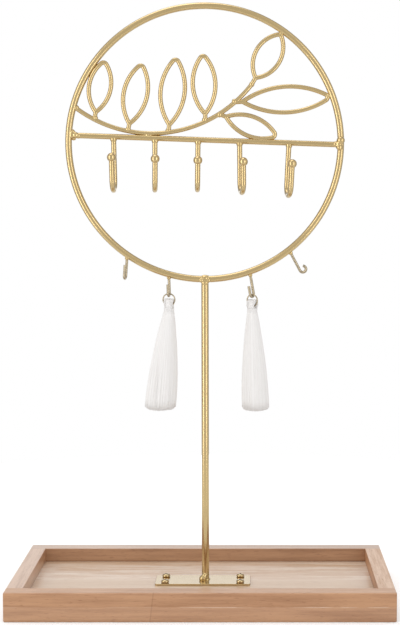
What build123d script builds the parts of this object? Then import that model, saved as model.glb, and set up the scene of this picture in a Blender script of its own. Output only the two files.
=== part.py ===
from build123d import *
import os
from math import atan2, cos, radians, sin, sqrt, tan

# A jewelry stand: a wire hoop on a post, standing in a shallow wooden tray.
# Millimetres. +Z is up, +X is to the right and +Y is away from the viewer.
# The origin is the middle of the tray's underside.

# Tray: a flat board with four strips glued round its edge
tray_width = 250.0
tray_depth = 120.0
board_thickness = 9.7
rim_strip_width = 11.0
rim_strip_height = 9.3
outer_edge_radius = 0.9
inner_edge_radius = 0.5

# Base plate and its four wood screws
plate_length = 64.0
plate_width = 22.0
plate_thickness = 1.2
plate_corner_radius = 1.5
plate_edge_radius = 0.3
plate_set_forward = 0.8
screw_spacing_x = 50.5
screw_spacing_y = 14.0
screw_head_diameter = 5.4
screw_head_height = 2.0
screw_head_crown = 1.3
screw_head_undercut = 0.5
screw_shank_diameter = 2.4
screw_point_length = 1.5
screw_point_radius = 0.3
screw_hole_clearance = 0.25
wood_under_screw = 3.0
drive_slot_width = 0.7
drive_slot_length = 2.4
drive_slot_depth = 0.7
drive_slot_turn = 25.0

# Post
post_diameter = 5.0
post_length = 201.4
post_offset = 1.7
post_cope = 1.0
foot_weld_height = 1.0
foot_weld_spread = 0.9
foot_bead_radius = 2.4
foot_bead_turn = 42.0
top_weld_radius = 3.3

# Hoop
hoop_rod_diameter = 4.5
hoop_diameter = 180.8

# Cross bar, which dips to the right
bar_diameter = 3.8
bar_rise = 2.2
bar_tilt = 2.0
bar_weld_radius = 2.45
bar_weld_spacing = 4.6
bar_weld_forward = 1.2
bar_weld_inset = 1.0

# Ball hooks under the bar
hook_wire_diameter = 3.5
hook_bend_radius = 7.0
hook_reach = 33.9
hook_ball_diameter = 6.0
hook_ball_seat = 1.0
hook_ball_drop = 14.0

# Each hook was bent and set by hand: place along the bar, extra reach, lean and twist to the right
ball_hooks = [
    (-60.5, 1.6, 1.2, -1.5),
    (-33.0, 0.5, -0.5, 4.7),
    (-4.4, -0.6, -0.9, 2.4),
    (23.2, 0.2, 0.5, 10.0),
    (56.0, 1.0, -2.9, 10.2),
]

# Small hooks under the hoop
small_wire_diameter = 1.9
small_bend_radius = 2.2

# Place round the hoop from straight down, lean to the right, turn of the open side to the left,
# shaft length, bend angle and tip length
small_hooks = [
    (-35.0, -4.0, 9.0, 11.4, 180.0, 7.0),
    (-15.5, 2.0, 9.0, 9.9, 180.0, 5.6),
    (19.3, 10.2, 32.0, 12.3, 180.0, 5.3),
    (38.4, 28.0, -75.0, 13.3, 225.0, 0.4),
]

# Ornament: a wire sprig that stands on the bar inside the hoop
ornament_wire_diameter = 3.0
weld_set_down = 0.35
stem_radius = 84.0
stem_low_point = -38.0
stem_end_angle = 54.0
leaf_stalk = 5.0
leaf_tip_radius = 2.2
leaf_side_set_down = 0.307861
leaf_row_start = -25.0
leaf_row_end = 9.5

# Leaves from left to right: angle along the stem or what the side touches, heading, half width,
# and length or what the tip reaches. Those between the row's start and end share its room.
leaves = [
    ("hoop", 80.0, 7.2, 33.0),
    (-9.0, 78.0, 7.8, 39.0),
    (leaf_row_end, 84.0, 8.0, 43.0),
    (27.0, 92.0, 7.5, 38.0),
    (34.0, -21.0, 6.5, "bar"),
    (43.0, 3.0, 8.5, "hoop"),
    (54.0, 60.0, 8.5, "hoop"),
]

# Jump rings and tassels
jump_ring_diameter = 8.9
jump_wire_diameter = 0.9
jump_ring_gap = 0.08
jump_ring_split = 0.15
jump_ring_split_turn = 20.0
thread_clearance = 0.3
head_diameter = 5.8
head_top = 4.9
head_arch_radius = 3.6
shoulder_top_drop = 0.3
shoulder_slope_height = 0.6
shoulder_band_height = 0.4
neck_diameter = 6.1
tie_height = 1.8
tie_thickness = 0.45
tassel_length = 70.0
skirt_top_depth_share = 0.98
skirt_hem_depth_share = 0.8
skirt_hem_rounding = 1.5
skirt_section_places = (0, 0.1, 0.25, 0.45, 0.7)

# Width at the hem, shift of the hem to the right, and how late the skirt flares
left_skirt = (20.8, -6.0, 0.95)
right_skirt = (18.2, 2.3, 1.0)

# Places that follow from the sizes
tray_height = board_thickness + rim_strip_height
plate_top = board_thickness + plate_thickness
hoop_radius = hoop_diameter / 2
hoop_rod_radius = hoop_rod_diameter / 2
hoop_inner_radius = hoop_radius - hoop_rod_radius
hoop_outer_radius = hoop_radius + hoop_rod_radius
hoop_center_z = plate_top + post_length + hoop_outer_radius
bar_radius = bar_diameter / 2
bar_center_z = hoop_center_z + bar_rise
ornament_wire_radius = ornament_wire_diameter / 2
shoulder_radius = neck_diameter / 2 + tie_thickness
head_radius = head_diameter / 2
tie_top = -shoulder_top_drop - shoulder_slope_height - shoulder_band_height
hoop_center = Vector(post_offset, 0, hoop_center_z)
ground_up = (Align.CENTER, Align.CENTER, Align.MIN)
top_down = (Align.CENTER, Align.CENTER, Align.MAX)


def save(name, solid):
    """Write one named piece."""
    export_step(solid, "parts/" + name + ".step")


def round_wire(path, diameter):
    """A round wire along a smooth path."""
    start = Plane(origin=path @ 0, z_dir=path % 0)
    return sweep(start * Circle(diameter / 2), path=path)


def in_hoop(x, z):
    """A point in the hoop's plane, measured from the hoop's centre."""
    return hoop_center + Vector(x, 0, z)


# Tray

def make_base_board():
    board = Box(tray_width, tray_depth, board_thickness, align=ground_up)
    board = fillet(board.edges().filter_by(Axis.Z), outer_edge_radius)
    board = fillet(board.faces().sort_by(Axis.Z)[0].edges(), outer_edge_radius)
    bite = board_thickness - wood_under_screw
    for x, y in screw_places():
        pilot = Cylinder(screw_shank_diameter / 2, bite, align=top_down)
        board -= Pos(x, y, board_thickness) * pilot
    return board


def make_rim():
    """The four strips as one frame, so that its rounded edges run on from strip to strip."""
    inner_width = tray_width - 2 * rim_strip_width
    inner_depth = tray_depth - 2 * rim_strip_width
    frame = Box(tray_width, tray_depth, rim_strip_height, align=ground_up)
    frame = fillet(frame.edges().filter_by(Axis.Z), outer_edge_radius)
    frame = fillet(frame.faces().sort_by(Axis.Z)[-1].edges(), outer_edge_radius)
    frame -= Box(inner_width, inner_depth, rim_strip_height, align=ground_up)
    top_face = frame.faces().sort_by(Axis.Z)[-1]
    frame = fillet(top_face.inner_wires()[0].edges(), inner_edge_radius)
    return Pos(0, 0, board_thickness) * frame


def make_rim_strips():
    """Front and back strips run the tray's full width; the side strips fit between them."""
    frame = make_rim()
    long_strip = Box(tray_width, rim_strip_width, tray_height)
    side_strip = Box(rim_strip_width, tray_depth - 2 * rim_strip_width, tray_height)
    y = (tray_depth - rim_strip_width) / 2
    x = (tray_width - rim_strip_width) / 2
    return {
        "tray_rim_front": frame & Pos(0, -y, tray_height) * long_strip,
        "tray_rim_back": frame & Pos(0, y, tray_height) * long_strip,
        "tray_rim_left": frame & Pos(-x, 0, tray_height) * side_strip,
        "tray_rim_right": frame & Pos(x, 0, tray_height) * side_strip,
    }


# Base plate and screws

def screw_places():
    """The four screws' places on the plate."""
    half_x = screw_spacing_x / 2
    half_y = screw_spacing_y / 2
    rows = (-plate_set_forward - half_y, -plate_set_forward + half_y)
    return [(x, y) for x in (-half_x, half_x) for y in rows]


def make_base_plate():
    plate = Box(plate_length, plate_width, plate_thickness, align=ground_up)
    plate = fillet(plate.edges().filter_by(Axis.Z), plate_corner_radius)
    plate = fillet(plate.faces().sort_by(Axis.Z)[-1].edges(), plate_edge_radius)
    plate = Pos(0, -plate_set_forward, 0) * plate
    hole = Cylinder(screw_shank_diameter / 2 + screw_hole_clearance, plate_thickness, align=ground_up)
    for x, y in screw_places():
        plate -= Pos(x, y, 0) * hole
    return Pos(0, 0, board_thickness) * plate


def make_screw():
    """One domed wood screw, with the underside of its head at the origin."""
    head = Cylinder(screw_head_diameter / 2, screw_head_height, align=ground_up)
    head = fillet(head.edges().sort_by(Axis.Z)[-1], screw_head_crown)
    head = chamfer(head.edges().sort_by(Axis.Z)[0], screw_head_undercut)
    slot = Box(drive_slot_length, drive_slot_width, drive_slot_depth, align=top_down)
    slot += Rot(0, 0, 90) * slot
    head -= Pos(0, 0, screw_head_height) * slot
    shank_length = plate_thickness + board_thickness - wood_under_screw
    shank_radius = screw_shank_diameter / 2
    shank = Cylinder(shank_radius, shank_length - screw_point_length, align=top_down)
    point = Cone(screw_point_radius, shank_radius, screw_point_length, align=top_down)
    return head + shank + Pos(0, 0, screw_point_length - shank_length) * point


def make_screws():
    screw = make_screw()
    screws = []
    for count, (x, y) in enumerate(screw_places()):
        screws.append(Pos(x, y, plate_top) * Rot(0, 0, count * drive_slot_turn) * screw)
    return Compound(children=screws)


# Hoop, post and cross bar

def make_hoop():
    return Pos(hoop_center) * Torus(hoop_radius, hoop_rod_radius, rotation=(90, 0, 0))


def make_post(hoop):
    post = Cylinder(post_diameter / 2, post_length + post_cope, align=ground_up)
    return Pos(post_offset, 0, plate_top) * post - hoop


def make_foot_weld():
    """A low collar round the post's foot, with a fuller bead at its front left."""
    foot_radius = post_diameter / 2
    collar = Cone(foot_radius + foot_weld_spread, foot_radius, foot_weld_height, align=ground_up)
    bead_reach = foot_radius + foot_weld_spread / 2
    bead = Rot(0, 0, -foot_bead_turn) * Pos(0, -bead_reach, 0) * Sphere(foot_bead_radius)
    room = 4 * (foot_radius + foot_weld_spread)
    above_plate = Box(room, room, room, align=ground_up)
    core = Cylinder(foot_radius, room, align=ground_up)
    weld = (bead & above_plate) - core + (collar - core)
    return Pos(post_offset, 0, plate_top) * weld


def make_top_weld(post, hoop):
    lowest = hoop_center - Vector(0, 0, hoop_radius)
    return Pos(lowest) * Sphere(top_weld_radius) - hoop - post


def make_cross_bar(hoop):
    half_length = sqrt(hoop_radius**2 - bar_rise**2)
    bar = Cylinder(bar_radius, 2 * half_length, rotation=(0, 90, 0))
    return Pos(post_offset, 0, bar_center_z) * Rot(0, bar_tilt, 0) * bar - hoop


def on_bar(x):
    """The bar's axis at a distance to the right of the hoop's centre."""
    return in_hoop(x, bar_rise - x * tan(radians(bar_tilt)))


def make_bar_welds(bar, hoop):
    """One bead on the left joint and two in front of the right one, above and below the bar."""
    left = Pos(on_bar(-hoop_inner_radius)) * Sphere(bar_weld_radius)
    end = on_bar(hoop_radius - bar_weld_inset) - Vector(0, bar_weld_forward, 0)
    up = Vector(0, 0, bar_weld_spacing / 2)
    right = Pos(end + up) * Sphere(bar_weld_radius)
    right += Pos(end - up) * Sphere(bar_weld_radius)
    return Compound(children=[left - hoop - bar, right - hoop - bar])


# Ball hooks

def make_ball_hook(place, extra_reach, lean, twist, bar):
    """A J hook with its ball; it opens towards the viewer."""
    reach = hook_reach + extra_reach
    bend_z = hook_bend_radius - reach
    front_y = -2 * hook_bend_radius
    ball_radius = hook_ball_diameter / 2
    tip_z = hook_ball_seat - ball_radius - hook_ball_drop
    stem = Line((0, 0, 0), (0, 0, bend_z))
    bend = ThreePointArc((0, 0, bend_z), (0, -hook_bend_radius, -reach), (0, front_y, bend_z))
    front = Line((0, front_y, bend_z), (0, front_y, tip_z))
    wire = round_wire(Wire([stem, bend, front]), hook_wire_diameter)
    ball = Pos(0, front_y, -hook_ball_drop) * Sphere(ball_radius) - wire
    seat = Pos(on_bar(place)) * Rot(0, -lean, 0) * Rot(0, 0, twist)
    return seat * wire - bar, seat * ball


# Small hooks

class SmallHook:
    """A thin J hook welded under the hoop, and where a ring hangs in it."""

    def __init__(self, place, lean, turn, shaft_length, bend_angle, tip_length):
        around = radians(place)
        self.top = in_hoop(hoop_radius * sin(around), -hoop_radius * cos(around))
        lean = radians(lean)
        turn = radians(turn)
        self.down = Vector(sin(lean), 0, -cos(lean))
        toward = Vector(-sin(turn), -cos(turn), 0)
        self.open = (toward - self.down * toward.dot(self.down)).normalized()
        self.shaft = hoop_rod_radius + shaft_length
        self.bend_angle = radians(bend_angle)
        self.tip = tip_length

    def bend_point(self, angle):
        """The wire's centre in the bend, an angle on from the shaft's end."""
        center = self.top + self.down * self.shaft + self.open * small_bend_radius
        return center + (self.down * sin(angle) - self.open * cos(angle)) * small_bend_radius

    def bend_direction(self, angle):
        return (self.down * cos(angle) + self.open * sin(angle)).normalized()

    def lowest_angle(self):
        return atan2(-self.down.Z, self.open.Z)

    def solid(self, hoop):
        bend_start = self.bend_point(0)
        bend_end = self.bend_point(self.bend_angle)
        tip_end = bend_end + self.bend_direction(self.bend_angle) * self.tip
        shaft = Line(self.top, bend_start)
        bend = ThreePointArc(bend_start, self.bend_point(self.bend_angle / 2), bend_end)
        tip = Line(bend_end, tip_end)
        return round_wire(Wire([shaft, bend, tip]), small_wire_diameter) - hoop


# Ornament

def stem_point(angle):
    """The stem's centre line, at an angle on from where it rests on the bar."""
    tilt = radians(bar_tilt)
    rest = on_bar(stem_low_point)
    height = bar_radius + ornament_wire_radius - weld_set_down + stem_radius
    center = rest + Vector(sin(tilt), 0, cos(tilt)) * height
    turn = radians(angle) - tilt
    return center + Vector(sin(turn), 0, -cos(turn)) * stem_radius


def stem_start_angle():
    """Where the stem's left end reaches the middle of the hoop's rod."""
    low = -90.0
    high = 0.0
    for _ in range(40):
        middle = (low + high) / 2
        if (stem_point(middle) - hoop_center).length > hoop_radius:
            low = middle
        else:
            high = middle
    return low


def make_stem(bar, hoop):
    start = stem_start_angle()
    middle = (start + stem_end_angle) / 2
    path = ThreePointArc(stem_point(start), stem_point(middle), stem_point(stem_end_angle))
    return round_wire(path, ornament_wire_diameter) - bar - hoop


def reach_to_hoop(base, heading):
    """How far a leaf goes from its base until its tip is welded to the hoop."""
    offset = base - hoop_center
    limit = hoop_inner_radius + weld_set_down - leaf_tip_radius - ornament_wire_radius
    along = offset.dot(heading)
    return sqrt(along**2 + limit**2 - offset.length**2) - along + leaf_tip_radius


def reach_to_bar(base, heading):
    """How far a leaf goes from its base until its tip is welded to the bar."""
    tilt = radians(bar_tilt)
    away = Vector(sin(tilt), 0, cos(tilt))
    height = (base - on_bar(0)).dot(away)
    limit = bar_radius + leaf_tip_radius + ornament_wire_radius - weld_set_down
    return (height - limit) / -heading.dot(away) + leaf_tip_radius


def leaf_side(length, half_width):
    """The radius and the widest point of a leaf's side, an arc that the small tip arc ends.

    The radius follows from the leaf's length, half width and tip radius.
    """
    reach = length - leaf_tip_radius
    square = 4 * leaf_tip_radius**2
    linear = 4 * leaf_tip_radius * (reach**2 - leaf_tip_radius**2) - 8 * reach**2 * half_width
    constant = (reach**2 - leaf_tip_radius**2) ** 2 + 4 * reach**2 * half_width**2
    radius = (-linear - sqrt(linear**2 - 4 * square * constant)) / (2 * square)
    widest = Vector(leaf_stalk + sqrt(2 * radius * half_width - half_width**2), half_width)
    return radius, widest


def angle_beside_hoop(heading, length, half_width):
    """Where on the stem a leaf stands so that its left side is welded to the hoop."""
    along = Vector(cos(radians(heading)), 0, sin(radians(heading)))
    across = Vector(-along.Z, 0, along.X)
    radius, widest = leaf_side(length, half_width)
    side_center = along * widest.X + across * (widest.Y - radius)
    limit = hoop_inner_radius + leaf_side_set_down - ornament_wire_radius - radius
    low = -90.0
    high = 0.0
    for _ in range(40):
        middle = (low + high) / 2
        if (stem_point(middle) + side_center - hoop_center).length > limit:
            low = middle
        else:
            high = middle
    return low


def leaf_outline(length, half_width):
    """One side of a leaf and its tip, flat, with the stalk along X.

    The two sides are equal arcs, and a small arc joins them at the tip.
    """
    reach = length - leaf_tip_radius
    radius, widest = leaf_side(length, half_width)
    side_center = widest - Vector(0, radius)
    tip_center = Vector(leaf_stalk + reach, 0)
    meet = side_center + (tip_center - side_center).normalized() * radius
    base = Vector(leaf_stalk, 0)
    side = ThreePointArc(base, widest, meet)
    tip = ThreePointArc(meet, Vector(leaf_stalk + length, 0), Vector(meet.X, -meet.Y))
    return side, tip


def leaf_angle(angle):
    """Where a leaf stands on the stem.

    The first one stands beside the hoop, and those before the row's end share the room that it
    leaves them.
    """
    _, heading, half_width, length = leaves[0]
    first = angle_beside_hoop(heading, length, half_width)
    if angle == "hoop":
        return first
    if angle >= leaf_row_end:
        return angle
    room = (leaf_row_end - first) / (leaf_row_end - leaf_row_start)
    return leaf_row_end - (leaf_row_end - angle) * room


def make_leaf(angle, heading, half_width, reach, stem, bar, hoop):
    """A pointed loop of wire on a short stalk that is welded to the stem."""
    angle = leaf_angle(angle)
    along = Vector(cos(radians(heading)), 0, sin(radians(heading)))
    base = stem_point(angle) + along * leaf_stalk
    length = reach
    if reach == "hoop":
        length = reach_to_hoop(base, along)
    if reach == "bar":
        length = reach_to_bar(base, along)
    side, tip = leaf_outline(length, half_width)
    leaf = round_wire(Wire([side, tip]), ornament_wire_diameter)
    leaf += mirror(round_wire(Wire([side]), ornament_wire_diameter), about=Plane.XZ)
    leaf += round_wire(Wire([Line((0, 0), (leaf_stalk, 0))]), ornament_wire_diameter)
    leaf += Pos(leaf_stalk, 0) * Sphere(ornament_wire_radius)
    place = Plane(origin=stem_point(angle), x_dir=along, z_dir=(0, -1, 0))
    return place.location * leaf - stem - bar - hoop


# Jump rings and tassels

class Hanger:
    """A jump ring in a small hook, and the tassel that hangs in the ring.

    The ring swings about the hook's wire, and the tassel swings about the ring's lowest stretch.
    """

    def __init__(self, hook):
        angle = hook.lowest_angle()
        wire_radius = jump_wire_diameter / 2
        self.ring_axis = hook.bend_direction(angle)
        self.ring_pivot = hook.bend_point(angle)
        self.mid_radius = jump_ring_diameter / 2 - wire_radius
        above = small_wire_diameter / 2 + jump_ring_gap + wire_radius
        self.ring_center = self.ring_pivot + Vector(0, 0, above - self.mid_radius)
        self.tassel_pivot = self.ring_center - Vector(0, 0, self.mid_radius)
        self.tassel_axis = self.ring_axis.cross(Vector(0, 0, 1)).normalized()

    def ring(self):
        """A bent wire ring with its two ends almost closed."""
        wire_radius = jump_wire_diameter / 2
        ring = Torus(self.mid_radius, wire_radius)
        reach = 2 * self.mid_radius
        split = Pos(reach / 2, 0, 0) * Box(reach, jump_ring_split, reach)
        ring -= Rot(0, 0, jump_ring_split_turn) * split
        plane = Plane(origin=self.ring_center, x_dir=self.tassel_axis, z_dir=self.ring_axis)
        return plane.location * ring

    def about_tassel_axis(self, solid):
        """A solid made about Z, laid along the tassel's axis instead."""
        return Plane(origin=(0, 0, 0), z_dir=self.tassel_axis).location * solid

    def ring_room(self):
        """The space that the ring's wire sweeps inside the tassel's head as the tassel swings."""
        wire_room = jump_wire_diameter / 2 + thread_clearance
        beside = Torus(self.mid_radius, self.mid_radius - wire_room)
        room = self.about_tassel_axis(Cylinder(head_top, head_diameter) - beside)
        span = 2 * head_top
        return room & Pos(0, 0, -wire_room) * Box(span, span, span, align=ground_up)

    def head(self):
        """The threads folded over the ring: round seen from above, and arched over the ring."""
        arch_height = head_top - head_arch_radius
        head = Pos(0, 0, tie_top) * Cylinder(head_radius, head_top - tie_top, align=ground_up)
        arch = self.about_tassel_axis(Cylinder(head_arch_radius, head_diameter))
        legs = Box(2 * head_diameter, 2 * head_diameter, arch_height - tie_top, align=ground_up)
        return head & (Pos(0, 0, arch_height) * arch + Pos(0, 0, tie_top) * legs)

    def threads(self, skirt):
        """The folded bundle of threads: a head over the ring, a neck and a flared skirt."""
        slope = Cone(shoulder_radius, head_radius, shoulder_slope_height, align=top_down)
        band = Cylinder(shoulder_radius, shoulder_band_height, align=top_down)
        neck = Cylinder(neck_diameter / 2, tie_height, align=top_down)
        bundle = self.head() + Pos(0, 0, -shoulder_top_drop) * slope
        bundle += Pos(0, 0, tie_top + shoulder_band_height) * band
        bundle += Pos(0, 0, tie_top) * neck
        bundle += make_skirt(*skirt)
        return Pos(self.tassel_pivot) * (bundle - self.ring_room())

    def tie(self):
        """The thread wound round the neck."""
        band = Cylinder(shoulder_radius, tie_height, align=top_down)
        band -= Cylinder(neck_diameter / 2, tie_height, align=top_down)
        return Pos(self.tassel_pivot + Vector(0, 0, tie_top)) * band


def make_skirt(hem_width, hem_shift, lateness):
    """The hanging threads, measured from the tassel's pivot."""
    top = tie_top - tie_height
    drop = tassel_length + top
    hem = skirt_hem_rounding / drop
    sections = []
    for share in (*skirt_section_places, 1 - hem, 1):
        flare = sin(radians(90 * share)) ** lateness
        half_width = shoulder_radius + (hem_width / 2 - shoulder_radius) * flare
        if share == 1:
            half_width -= skirt_hem_rounding
        depth_share = skirt_top_depth_share + (skirt_hem_depth_share - skirt_top_depth_share) * flare
        section = Ellipse(half_width, half_width * depth_share)
        sections.append(Pos(hem_shift * share, 0, top - drop * share) * section)
    return loft(sections, ruled=True)


def write_all():
    pieces = {"tray_base_board": make_base_board()}
    pieces.update(make_rim_strips())
    pieces["base_plate"] = make_base_plate()
    pieces["base_plate_screws"] = make_screws()

    hoop = make_hoop()
    bar = make_cross_bar(hoop)
    post = make_post(hoop)
    pieces["hoop"] = hoop
    pieces["post"] = post
    pieces["post_foot_weld"] = make_foot_weld()
    pieces["post_top_weld"] = make_top_weld(post, hoop)
    pieces["cross_bar"] = bar
    pieces["cross_bar_welds"] = make_bar_welds(bar, hoop)

    for count, setting in enumerate(ball_hooks, start=1):
        hook, ball = make_ball_hook(*setting, bar)
        pieces[f"ball_hook_{count}"] = hook
        pieces[f"hook_ball_{count}"] = ball

    hooks = [SmallHook(*setting) for setting in small_hooks]
    for count, hook in enumerate(hooks, start=1):
        pieces[f"small_hook_{count}"] = hook.solid(hoop)

    stem = make_stem(bar, hoop)
    pieces["ornament_stem"] = stem
    for count, leaf in enumerate(leaves, start=1):
        pieces[f"ornament_leaf_{count}"] = make_leaf(*leaf, stem, bar, hoop)

    for side, hook, skirt in (("left", hooks[1], left_skirt), ("right", hooks[2], right_skirt)):
        hanger = Hanger(hook)
        pieces["jump_ring_" + side] = hanger.ring()
        pieces["tassel_threads_" + side] = hanger.threads(skirt)
        pieces["tassel_tie_" + side] = hanger.tie()
        print(side, "ring swings at", hanger.ring_pivot, "about", hanger.ring_axis)
        print(side, "tassel swings at", hanger.tassel_pivot, "about", hanger.tassel_axis)

    os.makedirs("parts", exist_ok=True)
    for name, solid in pieces.items():
        save(name, solid)


write_all()
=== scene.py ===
# %% [markdown]
# A jewelry stand: a wire hoop on a post, standing in a shallow wooden tray.
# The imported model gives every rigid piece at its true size. This script adds the
# finishes, the small weld beads and the thread tassels, and lights the whole.
# All lengths are in metres, +Z is up and +Y points away from the viewer.

# %% Load the frame
import bpy
import bmesh
import math
import random
from mathutils import Matrix, Vector


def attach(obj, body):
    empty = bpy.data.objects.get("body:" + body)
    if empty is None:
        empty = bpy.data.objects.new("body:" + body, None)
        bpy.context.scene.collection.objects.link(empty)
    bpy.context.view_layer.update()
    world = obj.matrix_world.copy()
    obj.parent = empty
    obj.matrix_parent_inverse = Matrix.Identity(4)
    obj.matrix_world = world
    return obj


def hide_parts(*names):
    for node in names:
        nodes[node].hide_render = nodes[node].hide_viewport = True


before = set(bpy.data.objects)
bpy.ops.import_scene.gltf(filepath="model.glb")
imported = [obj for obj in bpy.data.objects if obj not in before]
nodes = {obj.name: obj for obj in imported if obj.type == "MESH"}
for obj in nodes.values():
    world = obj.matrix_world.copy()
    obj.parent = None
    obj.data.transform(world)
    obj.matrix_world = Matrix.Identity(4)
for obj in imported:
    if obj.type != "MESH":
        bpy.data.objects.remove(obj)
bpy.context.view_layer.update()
mm = 0.001

# %% [markdown]
# The camera comes first, so that every later choice can be judged through it.
# Its place and lens were worked out from the tray's edges and the hoop's roundness.
# The object doesn't sit on the lens's axis, so the frame is shifted a little
# instead of turning the camera, which would tilt the tray's straight edges.

# %% Camera
image_width, image_height = 400, 625
focal_pixels = 1357.1
axis_pixel_x, axis_pixel_y = 248.5, 282.7
camera_pitch = 3.62

camera_data = bpy.data.cameras.new("camera")
camera_data.sensor_width = 36
camera_data.lens = focal_pixels / image_height * camera_data.sensor_width
camera_data.shift_x = (image_width / 2 - axis_pixel_x) / image_height
camera_data.shift_y = (axis_pixel_y - image_height / 2) / image_height
camera = bpy.data.objects.new("camera", camera_data)
camera.location = (0.0308, -0.9053, 0.26945)
camera.rotation_euler = (math.radians(90 - camera_pitch), 0, 0)
bpy.context.collection.objects.link(camera)
bpy.context.scene.camera = camera
bpy.context.scene.view_settings.view_transform = "Standard"
print("lens", round(camera_data.lens, 2), "mm, shift", round(camera_data.shift_x, 4))

# %% [markdown]
# Materials are built from nodes. They could be clicked together by hand, but a few
# helpers keep the code short: one adds a node with its settings and its inputs, one joins
# a value or a socket to an input, and the others make the kinds of node used most.

# %% Node helpers
def feed(tree, socket, value):
    """Join another node's output to an input, or write a plain value there."""
    if isinstance(value, bpy.types.NodeSocket):
        tree.links.new(value, socket)
    else:
        socket.default_value = value


def add_node(tree, kind, inputs=None, **settings):
    node = tree.nodes.new(kind)
    for name, value in settings.items():
        setattr(node, name, value)
    for name, value in (inputs or {}).items():
        feed(tree, node.inputs[name], value)
    return node


def math_node(tree, operation, first, second=0.0, third=0.0):
    node = add_node(tree, "ShaderNodeMath", {0: first, 1: second, 2: third}, operation=operation)
    return node.outputs[0]


def soft_step(tree, value, start, end, low=0.0, high=1.0):
    """A value that goes smoothly from low to high while the input goes from start to end."""
    inputs = {"Value": value, "From Min": start, "From Max": end, "To Min": low, "To Max": high}
    node = add_node(tree, "ShaderNodeMapRange", inputs, interpolation_type="SMOOTHSTEP")
    return node.outputs["Result"]


def blend_colors(tree, share, first, second, blend_type="MIX"):
    node = add_node(tree, "ShaderNodeMix", {0: share, 6: first, 7: second},
                    data_type="RGBA", blend_type=blend_type)
    return node.outputs[2]


def new_group(name, inputs, outputs):
    """A node group with named sockets; it returns the tree and its input node."""
    tree = bpy.data.node_groups.new(name, "ShaderNodeTree")
    for socket, (kind, value) in inputs.items():
        item = tree.interface.new_socket(socket, in_out="INPUT", socket_type=kind)
        if value is not None:
            item.default_value = value
    for socket, kind in outputs.items():
        tree.interface.new_socket(socket, in_out="OUTPUT", socket_type=kind)
    return tree, tree.nodes.new("NodeGroupInput")


def use_group(tree, group, inputs):
    node = tree.nodes.new("ShaderNodeGroup")
    node.node_tree = group
    for name, value in inputs.items():
        feed(tree, node.inputs[name], value)
    return node


def new_material(name):
    """A material with its Principled shader; it returns the material, tree and shader."""
    material = bpy.data.materials.new(name)
    material.use_nodes = True
    tree = material.node_tree
    return material, tree, tree.nodes["Principled BSDF"]

# %% [markdown]
# The gold wire is steel with a thin satin plating under clear lacquer. On the real piece
# the tone wanders slightly, the sheen is a little duller in places, and drawn wire is never
# perfectly smooth. One node group gives that to the wire, the plate and the welds, each
# with its own amounts. A group was chosen because all of them need the same effect. The
# small hooks and the jump rings come from another batch, which is duller and darker.

# %% Plated metal group
number_socket = "NodeSocketFloat"
colour_socket = "NodeSocketColor"
vector_socket = "NodeSocketVector"

plating, inside = new_group(
    "Satin plating",
    {"Colour": (colour_socket, (0.7, 0.55, 0.3, 1)), "Tone change": (number_socket, 0.05),
     "Roughness": (number_socket, 0.3), "Dull spots": (number_socket, 0.08),
     "Grain size": (number_socket, 900.0)},
    {"Colour": colour_socket, "Roughness": number_socket, "Height": number_socket},
)
place = add_node(plating, "ShaderNodeTexCoord").outputs["Object"]
clouds = add_node(plating, "ShaderNodeTexNoise", {"Vector": place, "Scale": 70.0, "Detail": 3.0})
spots = add_node(plating, "ShaderNodeTexNoise", {"Vector": place, "Scale": 260.0, "Detail": 2.0})
grain = add_node(plating, "ShaderNodeTexNoise",
                 {"Vector": place, "Scale": inside.outputs["Grain size"], "Detail": 2.0})
centred = math_node(plating, "SUBTRACT", clouds.outputs["Fac"], 0.5)
tone = math_node(plating, "MULTIPLY_ADD", centred, inside.outputs["Tone change"], 1.0)
toned = add_node(plating, "ShaderNodeVectorMath", {0: inside.outputs["Colour"]}, operation="SCALE")
feed(plating, toned.inputs["Scale"], tone)
dull = soft_step(plating, spots.outputs["Fac"], 0.40, 0.70)
rough = math_node(plating, "MULTIPLY_ADD", dull, inside.outputs["Dull spots"],
                  inside.outputs["Roughness"])
add_node(plating, "NodeGroupOutput",
         {"Colour": toned.outputs[0], "Roughness": rough, "Height": grain.outputs["Fac"]})


bump_strength = 0.5
lacquer_roughness = 0.20


def plated_metal(name, colour, tone_change, roughness, dull_spots, grain_size, bump):
    """A gold finish; bump is the height of the grain in metres."""
    material, tree, shader = new_material(name)
    finish = use_group(tree, plating, {"Colour": colour, "Tone change": tone_change,
                                       "Roughness": roughness, "Dull spots": dull_spots,
                                       "Grain size": grain_size})
    relief = add_node(tree, "ShaderNodeBump", {"Height": finish.outputs["Height"],
                                               "Strength": bump_strength,
                                               "Distance": bump})
    feed(tree, shader.inputs["Base Color"], finish.outputs["Colour"])
    feed(tree, shader.inputs["Roughness"], finish.outputs["Roughness"])
    feed(tree, shader.inputs["Normal"], relief.outputs["Normal"])
    shader.inputs["Metallic"].default_value = 1.0
    shader.inputs["Coat Weight"].default_value = 1.0
    shader.inputs["Coat Roughness"].default_value = lacquer_roughness
    return material


# Colour, tone change, roughness, dull spots, grain size, and the height of the grain
wire_gold = plated_metal("Gold wire", (0.585, 0.43, 0.195, 1), 0.10, 0.19, 0.03, 500.0, 3e-7)
plate_gold = plated_metal("Gold sheet", (0.54, 0.395, 0.19, 1), 0.08, 0.14, 0.05, 900.0, 1e-6)
weld_gold = plated_metal("Gold weld", (0.58, 0.42, 0.18, 1), 0.08, 0.20, 0.04, 300.0, 3e-6)
ring_gold = plated_metal("Gold of the rings", (0.42, 0.345, 0.225, 1), 0.25, 0.18, 0.06, 500.0,
                         3e-7)
print("gold materials:", wire_gold.name, plate_gold.name, weld_gold.name, ring_gold.name)

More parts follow.
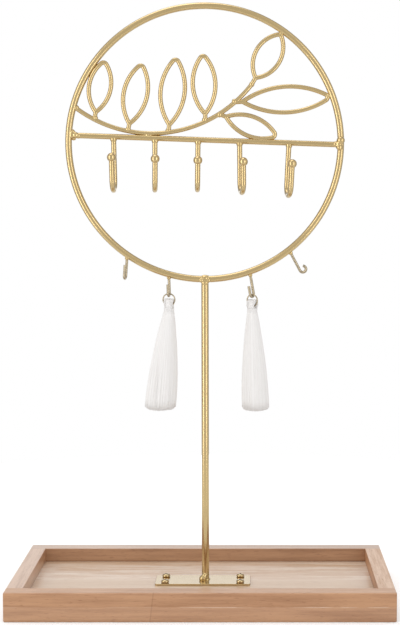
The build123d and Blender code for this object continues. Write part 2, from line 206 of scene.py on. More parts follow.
# %% [markdown]
# The tray is a light reddish hardwood under a thin satin varnish. Its grain shows as
# broad soft bands, fine streaks along the board and short dark pores. All three are noise
# that is stretched along the grain. One group holds them, and each board places it with
# its own offset, so that no figure runs on from one board into the next. The group also
# gives out the figure and the pores, because the sanded tops use them again.

# %% Wood grain group
wood, inside = new_group(
    "Wood grain",
    {"Place": (vector_socket, None), "Light": (colour_socket, (0.6, 0.4, 0.28, 1)),
     "Dark": (colour_socket, (0.4, 0.24, 0.15, 1)), "Pores": (number_socket, 0.35)},
    {"Colour": colour_socket, "Roughness": number_socket, "Height": number_socket,
     "Figure": number_socket, "Pore mask": number_socket},
)


def stretched_noise(tree, place, along, across, detail, distortion=0.0):
    """Noise whose first axis is stretched; along and across are features per metre."""
    sized = add_node(tree, "ShaderNodeVectorMath", {0: place, 1: (along, across, across)},
                     operation="MULTIPLY")
    inputs = {"Vector": sized.outputs[0], "Scale": 1.0, "Detail": detail, "Distortion": distortion}
    return add_node(tree, "ShaderNodeTexNoise", inputs).outputs["Fac"]


pore_shade = (0.62, 0.50, 0.42, 1)

place = inside.outputs["Place"]
bands = stretched_noise(wood, place, 4.0, 45.0, 2.0, 0.6)
streaks = stretched_noise(wood, place, 22.0, 420.0, 5.0, 0.3)
fibres = stretched_noise(wood, place, 150.0, 2600.0, 3.0)
pores = stretched_noise(wood, place, 190.0, 1500.0, 1.0)
figure = math_node(wood, "MULTIPLY_ADD", bands, 0.55, 0.0)
figure = math_node(wood, "MULTIPLY_ADD", streaks, 0.75, figure)
figure = math_node(wood, "MULTIPLY_ADD", fibres, 0.30, figure)
figure = soft_step(wood, figure, 0.58, 1.02)
tint = blend_colors(wood, figure, inside.outputs["Light"], inside.outputs["Dark"])
pore_mask = soft_step(wood, pores, 0.62, 0.72)
pore_share = math_node(wood, "MULTIPLY", pore_mask, inside.outputs["Pores"])
darker = blend_colors(wood, 1.0, tint, pore_shade, "MULTIPLY")
tint = blend_colors(wood, pore_share, tint, darker)
rough = math_node(wood, "MULTIPLY_ADD", fibres, 0.16, 0.36)
height = math_node(wood, "MULTIPLY_ADD", pore_mask, -0.8, fibres)
add_node(wood, "NodeGroupOutput", {"Colour": tint, "Roughness": rough, "Height": height,
                                   "Figure": figure, "Pore mask": pore_mask})
print("wood group gives:", [item.name for item in wood.interface.items_tree
                            if item.in_out == "OUTPUT"])

# %% [markdown]
# The front of the tray shows marks of its making: a pale, broken line of glue where the
# strip meets the board, and a slanted joint where two lengths of wood meet, with a thin
# dark seam. They could be modelled as grooves, but they are flat on the real wood, so they
# are painted on as colour. Only faces in the front plane get them.

# %% Marks on the front
board_top = 9.7 * mm
front_plane = (-58.5 * mm, -59.2 * mm)
joint_x = -31.8 * mm
joint_slope = 0.12
joint_shade = (0.975, 0.96, 0.945, 1)
seam_shade = (0.62, 0.52, 0.44, 1)
seam_share = 0.45
seam_reach = (0.6 * mm, 0.1 * mm)
glue_pale = (0.78, 0.66, 0.56, 1)
glue_share = 0.7
glue_reach = (0.22 * mm, 0.08 * mm)


def front_marks(tree, place, tint):
    """The joint, its seam and the glue line, on top of the wood's own colour."""
    split = add_node(tree, "ShaderNodeSeparateXYZ", {"Vector": place}).outputs
    on_front = soft_step(tree, split["Y"], *front_plane)
    joint = math_node(tree, "MULTIPLY_ADD", split["Z"], joint_slope, joint_x)
    past = math_node(tree, "SUBTRACT", split["X"], joint)
    right_side = soft_step(tree, past, -0.5 * mm, 0.5 * mm)
    amount = math_node(tree, "MULTIPLY", right_side, on_front)
    duller = blend_colors(tree, 1.0, tint, joint_shade, "MULTIPLY")
    tint = blend_colors(tree, amount, tint, duller)
    from_joint = math_node(tree, "ABSOLUTE", past)
    seam = soft_step(tree, from_joint, *seam_reach, 0.0, seam_share)
    seam = math_node(tree, "MULTIPLY", seam, on_front)
    shaded = blend_colors(tree, 1.0, tint, seam_shade, "MULTIPLY")
    tint = blend_colors(tree, seam, tint, shaded)
    from_line = math_node(tree, "ABSOLUTE", math_node(tree, "SUBTRACT", split["Z"], board_top))
    line = soft_step(tree, from_line, *glue_reach)
    breaks = stretched_noise(tree, place, 60.0, 60.0, 3.0)
    kept = soft_step(tree, breaks, 0.40, 0.62)
    more_right = soft_step(tree, split["X"], -60 * mm, 50 * mm, 0.25, 1.0)
    glue = math_node(tree, "MULTIPLY", math_node(tree, "MULTIPLY", line, kept), more_right)
    glue = math_node(tree, "MULTIPLY", glue, on_front)
    return blend_colors(tree, math_node(tree, "MULTIPLY", glue, glue_share), tint, glue_pale)


print("glue line at", board_top, "m, joint at", joint_x, "m")

# %% [markdown]
# Faces that look up are painted paler than the sides. This painted sheen stands for the top
# light and for the bright room that they mirror at a grazing angle. The floor's streaks and
# pores show through the painted sheen, and towards its front and its back the wood is tan
# again; near the back, that is where the back strip blocks the mirrored room. Where the strips
# meet the board, a darker line of painted shade lies in the corner, where shade falls.

# %% Tops and corners
# These colours paint the sheen on faces that look up: the pale one is painted sheen, and the
# streak, tan and pore colours let the grain show through it.
top_sheen_pale = (0.830, 0.745, 0.650, 1)
top_streak = (0.640, 0.475, 0.345, 1)
top_tan = (0.550, 0.390, 0.250, 1)
top_pore = (0.420, 0.270, 0.160, 1)
top_pore_share = 0.45
edge_wave = 12 * mm
front_tan = (14 * mm, 0.0)
front_tan_end = (-34 * mm, -18 * mm)
back_tan = (36 * mm, 52 * mm)
# Painted shade: a darker colour, and how high and how strongly it lies in the corner where a strip
# stands on the board.
corner_shade = (0.45, 0.36, 0.28, 1)
corner_shade_height = 1.5 * mm
corner_shade_share = 0.55


def painted_top_sheen(tree, place, grain, tint, pale, tan_edges):
    """A painted sheen that makes faces that look up paler; pale is how much of it there is."""
    facing = add_node(tree, "ShaderNodeNewGeometry").outputs["True Normal"]
    upward = add_node(tree, "ShaderNodeSeparateXYZ", {"Vector": facing}).outputs["Z"]
    streaked = soft_step(tree, grain["Figure"], 0.15, 0.85)
    sheened = blend_colors(tree, streaked, top_sheen_pale, top_streak)
    if tan_edges:
        # Towards the front and the back, the painted sheen gives way to tan; near the back, that
        # tan is painted shade where the back strip blocks the mirrored room.
        depth = add_node(tree, "ShaderNodeSeparateXYZ", {"Vector": place}).outputs["Y"]
        waved = math_node(tree, "MULTIPLY_ADD", grain["Figure"], edge_wave, depth)
        near_front = math_node(tree, "MULTIPLY", soft_step(tree, waved, *front_tan, 0.0, 0.8),
                               soft_step(tree, waved, *front_tan_end, 0.25, 1.0))
        near_back = soft_step(tree, waved, *back_tan, 0.0, 0.7)
        edges = math_node(tree, "MAXIMUM", near_front, near_back)
        sheened = blend_colors(tree, edges, sheened, top_tan)
    pore_share = math_node(tree, "MULTIPLY", grain["Pore mask"], top_pore_share)
    sheened = blend_colors(tree, pore_share, sheened, top_pore)
    return blend_colors(tree, soft_step(tree, upward, 0.2, 0.95, 0.0, pale), tint, sheened)


def painted_corner_shade(tree, place, tint):
    """A darker line of painted shade where a strip stands on the board, in the corner where shade
    falls.
    """
    height = add_node(tree, "ShaderNodeSeparateXYZ", {"Vector": place}).outputs["Z"]
    above = math_node(tree, "SUBTRACT", height, board_top)
    corner_shade_mask = soft_step(tree, above, corner_shade_height, 0.0, 0.0, corner_shade_share)
    corner_shaded = blend_colors(tree, 1.0, tint, corner_shade, "MULTIPLY")
    return blend_colors(tree, corner_shade_mask, tint, corner_shaded)


print("pale tops:", top_sheen_pale[:3], "corner line", corner_shade_height, "m high")

# %% [markdown]
# Each board then gets its own material. The two long strips and the board have their
# grain along the tray, and the side strips have it from front to back. The amounts differ
# from board to board, because the photo shows it so.

# %% Wood materials
wood_light = (0.505, 0.270, 0.138)
wood_dark = (0.355, 0.170, 0.078)
pore_amount = 0.5
grain_strength, grain_height = 0.35, 0.06 * mm
varnish_roughness = 0.28


def board_wood(name, offset, turned=False, front=False, corner=False, tone=1.0,
               pale=0.2, coat=1.0, tan_edges=False):
    material, tree, shader = new_material(name)
    place = add_node(tree, "ShaderNodeTexCoord").outputs["Object"]
    turn = (0, 0, math.radians(90)) if turned else (0, 0, 0)
    moved = add_node(tree, "ShaderNodeMapping",
                     {"Vector": place, "Location": offset, "Rotation": turn})
    light = tuple(v * tone for v in wood_light) + (1,)
    dark = tuple(v * tone for v in wood_dark) + (1,)
    grain = use_group(tree, wood, {"Place": moved.outputs["Vector"], "Light": light,
                                   "Dark": dark, "Pores": pore_amount}).outputs
    tint = grain["Colour"]
    if front:
        tint = front_marks(tree, place, tint)
    tint = painted_top_sheen(tree, place, grain, tint, pale, tan_edges)
    # Painted shade in the corner at the strip's foot.
    if corner:
        tint = painted_corner_shade(tree, place, tint)
    relief = add_node(tree, "ShaderNodeBump", {"Height": grain["Height"],
                                               "Strength": grain_strength,
                                               "Distance": grain_height})
    feed(tree, shader.inputs["Base Color"], tint)
    feed(tree, shader.inputs["Roughness"], grain["Roughness"])
    feed(tree, shader.inputs["Normal"], relief.outputs["Normal"])
    shader.inputs["Coat Weight"].default_value = coat
    shader.inputs["Coat Roughness"].default_value = varnish_roughness
    return material


# Each board's pale amount is how much painted sheen its upward faces get.
board_finishes = {
    "tray_base_board": board_wood("Wood of the board", (0.31, 0.07, 0.02), front=True,
                                  pale=0.80, tan_edges=True),
    "tray_rim_front": board_wood("Wood of the front strip", (0.90, 0.43, 0.21), front=True,
                                 pale=0.10, coat=0.35),
    # The back strip is toned darker as painted shade: inside the tray it stands in shade and gets
    # less light than the front.
    "tray_rim_back": board_wood("Wood of the back strip", (1.70, 0.15, 0.37), corner=True,
                                tone=0.86),
    "tray_rim_left": board_wood("Wood of the left strip", (0.23, 1.12, 0.65), turned=True,
                                corner=True),
    # The right strip is toned lighter as painted light, because its inner face looks towards the
    # left lamp.
    "tray_rim_right": board_wood("Wood of the right strip", (0.52, 2.31, 0.80), turned=True,
                                 corner=True, tone=1.05, pale=0.35, coat=0.15),
}
print("wood materials:", len(board_finishes))

# %% [markdown]
# The tassels are soft white thread. Thread scatters light at grazing angles, which sheen
# gives, and each thread differs a little from the next. The tone of each thread is kept
# on its mesh as an attribute, because noise in space wouldn't follow one thread down.

# %% Thread material
thread_dull = (0.755, 0.733, 0.718, 1)
thread_bright = (0.82, 0.806, 0.795, 1)
ply_features = 2500.0

thread_white, tree, shader = new_material("White thread")
own_tone = add_node(tree, "ShaderNodeAttribute", attribute_name="thread_tone").outputs["Fac"]
place = add_node(tree, "ShaderNodeTexCoord").outputs["Object"]
tint = blend_colors(tree, own_tone, thread_dull, thread_bright)
feed(tree, shader.inputs["Base Color"], tint)
shader.inputs["Roughness"].default_value = 0.7
shader.inputs["Sheen Weight"].default_value = 0.35
shader.inputs["Sheen Roughness"].default_value = 0.4
ply = stretched_noise(tree, place, ply_features, ply_features, 1.0)
relief = add_node(tree, "ShaderNodeBump", {"Height": ply, "Strength": 0.2, "Distance": 0.1 * mm})
feed(tree, shader.inputs["Normal"], relief.outputs["Normal"])
print("thread material:", thread_white.name)

# %% [markdown]
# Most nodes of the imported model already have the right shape, so they only get a finish,
# chosen by name. Modelling them again would only bring in errors.

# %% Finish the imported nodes
plate_nodes = ("base_plate", "base_plate_screws")


def finish_of(name):
    if name in board_finishes:
        return board_finishes[name]
    if name in plate_nodes:
        return plate_gold
    if name.endswith(("weld", "welds")):
        return weld_gold
    if name.startswith(("small_hook", "jump_ring")):
        return ring_gold
    return wire_gold


rigid_nodes = {name: node for name, node in nodes.items() if not name.startswith("tassel")}
for name, node in rigid_nodes.items():
    node.data.materials.clear()
    node.data.materials.append(finish_of(name))
print("finished", len(rigid_nodes), "of", len(nodes), "nodes")

# %% [markdown]
# Where two rods are welded, the melted metal sets as a rounded lump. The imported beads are
# plain balls, so each is replaced by a few overlapping balls that a voxel remesh joins
# and a smoothing pass softens, which gives the uneven look of a real bead. From here on,
# places are in millimetres, as in the part's source, until a mesh is made.

# %% Bead helpers
hoop_centre = Vector((1.7, 0, 304.95))
hoop_radius, hoop_inner_radius = 90.4, 88.15
bar_radius = 1.9
bar_rise = 2.2
bar_tilt = math.radians(2.0)
bead_voxel = 0.3 * mm
bead_smoothing = 9


def new_piece(name, mesh, material, body):
    piece = bpy.data.objects.new(name, mesh)
    bpy.context.collection.objects.link(piece)
    mesh.materials.append(material)
    for polygon in mesh.polygons:
        polygon.use_smooth = True
    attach(piece, body)
    return piece


def bead_mesh(name, lumps):
    """One smooth lump from balls, each given by its centre and radius in millimetres."""
    maker = bmesh.new()
    for centre, radius in lumps:
        bmesh.ops.create_icosphere(maker, subdivisions=3, radius=radius * mm,
                                   matrix=Matrix.Translation(Vector(centre) * mm))
    rough_mesh = bpy.data.meshes.new(name)
    maker.to_mesh(rough_mesh)
    maker.free()
    helper = bpy.data.objects.new(name, rough_mesh)
    bpy.context.collection.objects.link(helper)
    remesh = helper.modifiers.new("join", "REMESH")
    remesh.mode = "VOXEL"
    remesh.voxel_size = bead_voxel
    smooth = helper.modifiers.new("soften", "SMOOTH")
    smooth.factor = 0.5
    smooth.iterations = bead_smoothing
    shape = bpy.context.evaluated_depsgraph_get()
    mesh = bpy.data.meshes.new_from_object(helper.evaluated_get(shape))
    bpy.data.objects.remove(helper)
    mesh.name = name
    return mesh


def weld(name, lumps, *replaced):
    """A bead from lumps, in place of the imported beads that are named."""
    piece = new_piece(name, bead_mesh(name, lumps), weld_gold, "stand")
    if replaced:
        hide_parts(*replaced)
    print(name, len(piece.data.polygons), "faces")
    return piece


def on_bar(x, up=0.0, front=0.0):
    """A place in the bar: x from the hoop's middle, then up from it and to the front."""
    return hoop_centre + Vector((x, -front, bar_rise - x * math.tan(bar_tilt) + up))


print("beads: voxels of", bead_voxel, "m, smoothed", bead_smoothing, "times")

# %% [markdown]
# The main beads: two at the ends of the bar, one where the post meets the hoop, and one
# round the post's foot that is fuller at its front left. Each ball is a centre and a
# radius, read from the photo.

# %% Main beads
left_end, right_end = -hoop_inner_radius, hoop_inner_radius
collar_balls, collar_radius, collar_ball_radius = 12, 2.5, 0.85
weld("bar_end_beads", [
    (on_bar(left_end), 2.5), (on_bar(left_end + 2.4, 0.2, 0.6), 2.2),
    (on_bar(left_end + 4.4, -0.3, 0.3), 1.9), (on_bar(left_end + 0.4, 2.2, 0.4), 1.9),
    (on_bar(left_end + 1.2, -1.8, -0.5), 1.7),
    (on_bar(right_end + 2.1, 2.8, 1.4), 2.8), (on_bar(right_end + 1.3, -1.8, 1.4), 2.3),
    (on_bar(right_end + 0.9, 0.6, 0.9), 2.3), (on_bar(right_end - 1.2, 0.2, 0.4), 2.1),
], "cross_bar_welds")

hoop_bottom = hoop_centre - Vector((0, 0, hoop_radius))
weld("post_top_bead", [
    (hoop_bottom, 3.0), (hoop_bottom + Vector((-2.5, -1.4, -0.6)), 1.7),
    (hoop_bottom + Vector((2.5, -1.4, -0.6)), 1.7), (hoop_bottom + Vector((-1.2, -0.4, 1.4)), 1.5),
    (hoop_bottom + Vector((1.5, -0.4, 1.4)), 1.5), (hoop_bottom + Vector((0, -0.5, -2.4)), 2.5),
], "post_top_weld")

post_foot = Vector((1.7, 0, 10.9))
foot_lumps = []
for step in range(collar_balls):
    around = math.radians(360 * step / collar_balls)
    outwards = Vector((math.cos(around), math.sin(around), 0))
    foot_lumps.append((post_foot + outwards * collar_radius, collar_ball_radius))
foot_lumps += [(post_foot + Vector((-1.7, -2.2, 0.9)), 2.6),
               (post_foot + Vector((-1.1, -2.1, 1.9)), 2.3),
               (post_foot + Vector((-0.2, -1.7, 3.3)), 1.8)]
weld("post_foot_bead", foot_lumps, "post_foot_weld")

# %% [markdown]
# Every hook, leaf and stem is welded too, with beads so small that they only soften the
# joint. The beads on the hoop are found from the nodes: a leaf that is welded to the hoop
# touches it at the point of the leaf that is farthest from the hoop's centre. The others
# follow the same lengths and angles as the part's source.

# %% Small beads
def farthest_on_hoop(node_name):
    """Where a node meets the hoop's inner side, in millimetres."""
    centre = hoop_centre * mm
    points = [vertex.co - centre for vertex in nodes[node_name].data.vertices]
    reach = max(points, key=lambda point: point.x ** 2 + point.z ** 2)
    return hoop_centre + Vector((reach.x, 0, reach.z)).normalized() * hoop_inner_radius


def downwards(angle):
    """Straight down, turned by an angle in radians towards +X."""
    return Vector((math.sin(angle), 0, -math.cos(angle)))


stem_rest = -38.0
stem_middle_rise = 87.05
stem_radius = 84.0


def stem_point(angle, rise=0.0):
    """A place on the stem's curve, and rise millimetres from it towards its centre."""
    middle = on_bar(stem_rest) - downwards(-bar_tilt) * stem_middle_rise
    return middle + downwards(math.radians(angle) - bar_tilt) * (stem_radius - rise)


ball_hook_places = (-60.5, -33.0, -4.4, 23.2, 56.0)
ball_hook_bead, ball_hook_overlap = 2.3, 0.1
weld("hook_beads", [(on_bar(x, -bar_radius + ball_hook_overlap), ball_hook_bead)
                    for x in ball_hook_places])

# Where each small hook hangs on the hoop and how far it leans, in degrees
small_hook_facts = ((-35.0, -4.0), (-15.5, 2.0), (19.3, 10.2), (38.4, 28.0))
small_bead_drop, small_bead = 2.4, 1.5
small_lumps = []
for hoop_angle, lean in small_hook_facts:
    top = hoop_centre + downwards(math.radians(hoop_angle)) * hoop_radius
    small_lumps.append((top + downwards(math.radians(lean)) * small_bead_drop, small_bead))
weld("small_hook_beads", small_lumps)

# Angle along the stem, rise from it, and radius
stem_joints = [(0.0, -1.3, 1.5), (1.2, -1.3, 1.3), (-1.3, -1.3, 1.2)]
stem_joints += [(angle, rise, 1.9) for angle, rise in
                ((-25, 1.2), (-9, 1.2), (9.5, 1.2), (27, 1.2), (34, -0.6), (43, 0.6), (54, 0))]
sprig_lumps = [(stem_point(angle, rise), radius) for angle, rise, radius in stem_joints]
for name, radius in (("ornament_stem", 2.0), ("ornament_leaf_6", 1.8), ("ornament_leaf_7", 1.8)):
    sprig_lumps.append((farthest_on_hoop(name), radius))
weld("sprig_beads", sprig_lumps)

# %% [markdown]
# A tassel is a bundle of threads folded over the jump ring, wound round below the fold and
# cut off at the hem. Each thread is made as its own thin tube, because a smooth lathe shape
# would look like plaster. The tube follows its path with a frame that is carried along, so
# it doesn't twist.

# %% Thread tubes
tube_sides = 6
core_tone = 0.5


def join_rings(maker, rings):
    """Faces between neighbouring rings, and one at each end."""
    for first, second in zip(rings, rings[1:]):
        for side in range(len(first)):
            after = (side + 1) % len(first)
            maker.faces.new((first[side], first[after], second[after], second[side]))
    maker.faces.new(list(reversed(rings[0])))
    maker.faces.new(rings[-1])


def add_tube(maker, tone_layer, points, radii, tone):
    """Add one closed tube along points; radii holds its radius at each point."""
    ahead = (points[1] - points[0]).normalized()
    across = ahead.orthogonal().normalized()
    rings = []
    for index, point in enumerate(points):
        before, after = points[max(index - 1, 0)], points[min(index + 1, len(points) - 1)]
        turned = (after - before).normalized()
        across = ahead.rotation_difference(turned) @ across
        ahead = turned
        beside = ahead.cross(across)
        ring = []
        for side in range(tube_sides):
            around = 2 * math.pi * side / tube_sides
            offset = across * math.cos(around) + beside * math.sin(around)
            vertex = maker.verts.new(point + offset * radii[index])
            vertex[tone_layer] = tone
            ring.append(vertex)
        rings.append(ring)
    join_rings(maker, rings)


def add_core(maker, tone_layer, rings):
    """Add one closed body through rings of points."""
    rows = []
    for ring in rings:
        row = [maker.verts.new(point * mm) for point in ring]
        for vertex in row:
            vertex[tone_layer] = core_tone
        rows.append(row)
    join_rings(maker, rows)


def thread_piece(name, threads, core_rings, body, replaced):
    """One mesh of threads, each given by its points, radii and tone, and of a core."""
    maker = bmesh.new()
    tone_layer = maker.verts.layers.float.new("thread_tone")
    for points, radii, tone in threads:
        add_tube(maker, tone_layer, [p * mm for p in points], [r * mm for r in radii], tone)
    if core_rings:
        add_core(maker, tone_layer, core_rings)
    bmesh.ops.recalc_face_normals(maker, faces=maker.faces)
    mesh = bpy.data.meshes.new(name)
    maker.to_mesh(mesh)
    maker.free()
    piece = new_piece(name, mesh, thread_white, body)
    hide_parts(replaced)
    print(name, len(threads), "threads,", len(mesh.polygons), "faces")
    return piece

# %% [markdown]
# The skirt opens from the tie to the hem, wider across than it is deep, and leans a
# little, as the photograph shows. Five layers of threads lie over and in a plain core,
# which stands for the mass of threads that nobody sees and lets no light through. The
# outer layers are close together, so that the skirt looks smooth with fine streaks. At
# the hem the outermost threads end a little higher, as scissors leave them.

# %% Skirt
neck_radius = 3.05
neck_swell = 0.38
neck_depth, depth_loss = 0.98, 0.18
skirt_top, skirt_bottom = -3.1, -70.0
# How many threads each layer has, and how far out it lies
skirt_layers = ((136, 0.970), (112, 0.885), (80, 0.77), (50, 0.55), (22, 0.28))
thread_steps = 12
thread_radius, thread_growth = 0.22, 0.20
hem_rise, side_rise = 2.1, 0.7
core_steps, core_sides, core_out = 16, 48, 0.93


def skirt_point(pivot, skirt, share, turn, out, lift=0.0):
    """A point of the skirt: share goes down from the tie, out from its middle to its face."""
    hem_width, hem_shift, lateness = skirt
    below = max(share, 0.0)
    flare = math.sin(math.pi / 2 * min(below, 1.0)) ** lateness
    swollen = neck_radius + neck_swell * min(below * 12, 1)
    half = swollen + (hem_width / 2 - neck_radius - neck_swell) * flare
    depth = neck_depth - depth_loss * flare
    x = hem_shift * share + out * half * math.cos(turn)
    y = out * half * depth * math.sin(turn)
    return pivot + Vector((x, y, skirt_top + (skirt_bottom - skirt_top + lift) * share))


def skirt_threads(chance, pivot, skirt):
    threads = []
    for count, out in skirt_layers:
        for index in range(count):
            turn = 2 * math.pi * (index + chance.uniform(-0.2, 0.2)) / count
            wave, phase = chance.uniform(0.1, 0.35) / count, chance.uniform(0, 2 * math.pi)
            stray = out + chance.uniform(-0.012, 0.012)
            lift = hem_rise * out ** 9 * chance.uniform(0.8, 1.1) + chance.uniform(0.0, 0.5)
            lift += side_rise * math.cos(turn) ** 2 * out ** 4
            points, radii = [], []
            for step in range(thread_steps + 1):
                share = -0.02 + 1.02 * step / thread_steps
                sway = 2 * math.pi * wave * math.sin(phase + 6.0 * share)
                curl = 0.015 * max(share - 0.9, 0) / 0.1
                points.append(skirt_point(pivot, skirt, share, turn + sway, stray - curl, lift))
                radii.append(thread_radius + thread_growth * max(share, 0.0) ** 0.7)
            threads.append((points, radii, chance.random()))
    return threads


def skirt_core(pivot, skirt):
    """Rings of points, from inside the tie down to just above the hem."""
    rings = []
    for step in range(core_steps + 1):
        share = -0.03 + 1.0 * step / core_steps
        turns = [2 * math.pi * side / core_sides for side in range(core_sides)]
        rings.append([skirt_point(pivot, skirt, share, turn, core_out) for turn in turns])
    return rings


print("threads in each skirt:", sum(count for count, out in skirt_layers))

# %% [markdown]
# Above the tie the same threads pass over the wire of the jump ring. Each goes up one side
# of the ring, over its lowest stretch and down the other side. The ring's wire rises to
# each side, so the threads there start farther out, and the tassel can swing without
# cutting into the ring.

# %% Head
ring_mid_radius = 4.0
wire_room = 0.85
head_reach = 2.6
head_top = 4.6
head_places = [0.4 * step for step in range(-7, 8)]
head_layers = 5
head_half_width = 3.3
tied_half_width = 2.65
head_thread_radius = 0.29
arch_foot = 0.6
arch_steps = 10


def head_threads(chance, pivot, along, forward):
    """Threads over the ring: place goes along the ring's wire, front away from it."""
    threads = []
    for place in head_places:
        nearest = ring_mid_radius - math.sqrt((ring_mid_radius - wire_room) ** 2 - place ** 2)
        farthest = max(nearest + 0.1, math.sqrt(max(head_reach ** 2 - place ** 2, 0.0)))
        for layer in range(head_layers):
            share = (layer + chance.uniform(-0.1, 0.1)) / (head_layers - 1)
            share = min(max(share, 0.0), 1.0)
            front = nearest + (farthest - nearest) * share
            top = nearest + (head_top - nearest) * share ** 0.8
            spread = Vector((place * 1.15, front))
            spread = spread.normalized() * min(spread.length * 1.06, head_half_width)
            tied = spread.normalized() * min(spread.length, tied_half_width)
            leg = [Vector((*tied, -3.3)), Vector((*tied, -2.4)), Vector((*tied, -1.5)),
                   Vector((*spread, -0.9)), Vector((*spread, -0.2)),
                   Vector((place, front, arch_foot))]
            path = leg[:]
            for step in range(1, arch_steps):
                around = math.pi * step / arch_steps
                rise = (top - arch_foot) * math.sin(around) ** 0.9
                path.append(Vector((place, front * math.cos(around), arch_foot + rise)))
            path += [Vector((p.x, -p.y, p.z)) for p in reversed(leg)]
            points = [pivot + along * p.x + forward * p.y + Vector((0, 0, p.z)) for p in path]
            threads.append((points, [head_thread_radius] * len(points), chance.random()))
    return threads


print("threads over each ring:", len(head_places) * head_layers)

# %% [markdown]
# The tie is one thread wound round the neck four times. The two tassels differ: each has
# its own hem width, lean and flare, and the right one hangs in a ring that is turned more.
# Each is built at its joint's pivot and rides its own body, so it swings as one.

# %% Tie and tassels
tie_turns, tie_steps, tie_pitch = 4, 28, 0.42
tie_radius, tie_top = 3.27, -1.38
tie_thread_radius, tie_tone = 0.22, 0.6


def tie_threads(pivot):
    points = []
    for step in range(tie_turns * tie_steps + 1):
        around = 2 * math.pi * step / tie_steps
        down = tie_top - tie_pitch * step / tie_steps
        points.append(pivot + Vector((tie_radius * math.cos(around),
                                      tie_radius * math.sin(around), down)))
    return [(points, [tie_thread_radius] * len(points), tie_tone)]


# Pivot, turn of the ring in degrees, and the skirt: hem width, shift of the hem, lateness
tassel_facts = {
    "left": (Vector((-22.3032, -2.1848, 196.965)), 9.0, (20.8, -6.0, 0.95)),
    "right": (Vector((33.3022, -2.0498, 196.411)), 32.0, (18.2, 2.3, 1.0)),
}
for side, (pivot, hook_turn, skirt) in tassel_facts.items():
    chance = random.Random(side)
    turn = math.radians(hook_turn)
    forward = Vector((-math.sin(turn), -math.cos(turn), 0))
    along = Vector((-math.cos(turn), math.sin(turn), 0))
    body = "tassel_" + side
    threads = skirt_threads(chance, pivot, skirt)
    threads += head_threads(chance, pivot, along, forward)
    thread_piece(side + "_tassel", threads, skirt_core(pivot, skirt), body,
                 "tassel_threads_" + side)
    thread_piece(side + "_tassel_tie", tie_threads(pivot), [], body, "tassel_tie_" + side)

# %% [markdown]
# The floor is plain white. The camera sees it bright white, as in a studio with a lit
# backdrop, while the object is lit only by the lamps and the world. A mix by ray kind
# does this, so the object's own light isn't raised to make the floor white. The glow
# grows away from the object, so a soft shadow stays under the tray.

# %% Floor
floor_radius = 0.5
floor_tone = (0.80, 0.80, 0.80, 1)
glow_start, glow_end = 0.20, 0.42
glow_low, glow_high = 0.22, 1.0

floor_mesh = bpy.data.meshes.new("floor")
maker = bmesh.new()
bmesh.ops.create_circle(maker, cap_ends=True, segments=96, radius=floor_radius)
maker.to_mesh(floor_mesh)
maker.free()
floor = bpy.data.objects.new("floor", floor_mesh)
bpy.context.collection.objects.link(floor)

white, tree, shader = new_material("White floor")
tree.nodes.remove(shader)
rays = add_node(tree, "ShaderNodeLightPath").outputs
matt = add_node(tree, "ShaderNodeBsdfDiffuse", {"Color": floor_tone})
place = add_node(tree, "ShaderNodeTexCoord").outputs["Object"]
from_middle = add_node(tree, "ShaderNodeVectorMath", {0: place}, operation="LENGTH")
glow = soft_step(tree, from_middle.outputs["Value"], glow_start, glow_end, glow_low, glow_high)
lit = add_node(tree, "ShaderNodeEmission", {"Color": (1, 1, 1, 1), "Strength": glow})
both = add_node(tree, "ShaderNodeAddShader", {0: matt.outputs[0], 1: lit.outputs[0]})
ways = add_node(tree, "ShaderNodeMixShader",
                {0: rays["Is Camera Ray"], 1: matt.outputs[0], 2: both.outputs[0]})
feed(tree, tree.nodes["Material Output"].inputs["Surface"], ways.outputs[0])
floor.data.materials.append(white)
print("floor:", 2 * floor_radius, "m across")

# %% [markdown]
# Polished metal looks like what it mirrors, so the world is a simple studio: lit panels to
# the left and right and behind, and a darker room above, below and round the camera. The
# side panels get darker towards the back. A rod mirrors those parts near its outline, and
# that gives it the dark edges of the photo. The camera itself sees plain white.

# %% World
diffuse_light = 0.90
side_start, side_end, room_light, panel_light = 0.15, 0.60, 0.76, 0.90
edge_start, edge_end, edge_light = -0.25, 0.45, 0.58
behind_start, behind_end, behind_light = 0.80, 0.95, 1.1

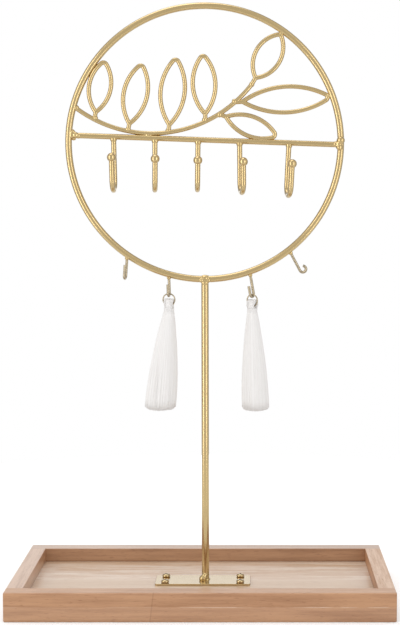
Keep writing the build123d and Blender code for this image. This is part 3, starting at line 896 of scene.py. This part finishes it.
world = bpy.data.worlds.new("studio")
world.use_nodes = True
bpy.context.scene.world = world
tree = world.node_tree
rays = add_node(tree, "ShaderNodeLightPath").outputs
around = tree.nodes["Background"]
around.inputs["Color"].default_value = (1, 1, 1, 1)
direction = add_node(tree, "ShaderNodeTexCoord").outputs["Generated"]
axes = add_node(tree, "ShaderNodeSeparateXYZ", {"Vector": direction}).outputs
sideways = math_node(tree, "ABSOLUTE", axes["X"])
beside = soft_step(tree, sideways, side_start, side_end, room_light, panel_light)
edge_shade = soft_step(tree, axes["Y"], edge_start, edge_end, 1.0, edge_light)
beside = math_node(tree, "MULTIPLY", beside, edge_shade)
behind = soft_step(tree, axes["Y"], behind_start, behind_end, 0.0, behind_light)
mirrored = math_node(tree, "MAXIMUM", beside, behind)
seen = add_node(tree, "ShaderNodeMix", {0: rays["Is Glossy Ray"], 2: diffuse_light, 3: mirrored},
                data_type="FLOAT").outputs[0]
seen = add_node(tree, "ShaderNodeMix", {0: rays["Is Camera Ray"], 2: seen, 3: 1.0},
                data_type="FLOAT").outputs[0]
feed(tree, around.inputs["Strength"], seen)
print("world:", world.name)

# %% [markdown]
# Two tall soft lamps stand left and right of the camera, and a wide one hangs overhead.
# The tall ones draw the two bright lines along each rod, and the wide one lights the
# tray's floor more than its front. A sun would give hard shadows, which the photo lacks.

# %% Lamps
def soft_lamp(name, place, aim, width, height, power):
    """A rectangular lamp at a place, turned to its aim; its power is in watts."""
    data = bpy.data.lights.new(name, "AREA")
    data.shape = "RECTANGLE"
    data.size, data.size_y = width, height
    data.energy = power
    lamp = bpy.data.objects.new(name, data)
    lamp.location = place
    direction = Vector(aim) - Vector(place)
    lamp.rotation_euler = direction.to_track_quat("-Z", "Y").to_euler()
    bpy.context.collection.objects.link(lamp)
    print(name, power, "W")


soft_lamp("left lamp", (-1.46, -1.06, 0.40), (0, 0, 0.40), 0.36, 2.2, 9.8)
soft_lamp("right lamp", (1.13, -1.34, 0.40), (0, 0, 0.40), 0.30, 2.2, 6.3)
soft_lamp("top lamp", (-0.3, 0.2, 1.9), (0, 0, 0), 1.4, 1.2, 9)
